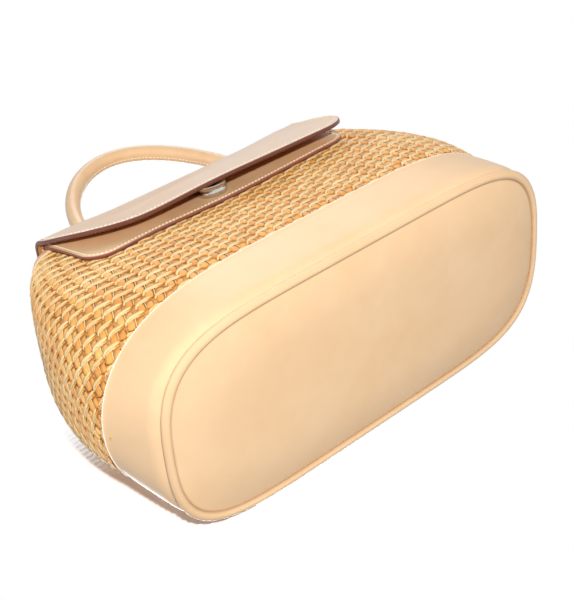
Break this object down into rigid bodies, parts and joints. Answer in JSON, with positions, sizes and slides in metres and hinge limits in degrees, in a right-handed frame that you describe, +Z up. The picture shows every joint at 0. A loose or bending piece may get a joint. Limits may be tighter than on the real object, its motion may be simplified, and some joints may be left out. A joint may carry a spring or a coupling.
{
  "type": "woven straw handbag",
  "caption": "Woven straw handbag with a leather base and band, leather facings at the mouth, a hinged leather flap with a round clasp, and a rolled top handle.",
  "frame": {"origin": "middle of the base, on the surface it stands on", "axes": "+Z up, +X along the bag, front faces -Y"},
  "size_m": [0.365, 0.156, 0.3106],
  "materials": {
    "base_leather": "smooth tan leather, satin",
    "flap_leather": "smooth tan leather with painted edges",
    "handle_leather": "rolled smooth tan leather",
    "straw": "woven straw in rows",
    "lining_cloth": "plain brown cloth",
    "board": "stiff fibre board",
    "clasp_metal": "polished",
    "magnet": "plain"
  },
  "bodies": {
    "bag_body": {"base_panel": "base_leather", "base_piping": "base_leather", "base_board": "board", "base_band": "base_leather", "woven_body": "straw", "lining": "lining_cloth", "rim_binding": "flap_leather", "front_facing": "flap_leather", "back_facing": "flap_leather", "clasp_drum": "clasp_metal", "clasp_magnet": "magnet"},
    "flap_body": {"flap": "flap_leather", "clasp_plate": "clasp_metal", "left_handle_tab": "flap_leather", "right_handle_tab": "flap_leather", "handle": "handle_leather"}
  },
  "joints": [
    {"name": "flap_hinge", "type": "hinge", "parent": "bag_body", "child": "flap_body", "pos_m": [0, 0.0403, 0.2094], "axis": [-1, 0, 0], "range_deg": [0, 150]}
  ]
}
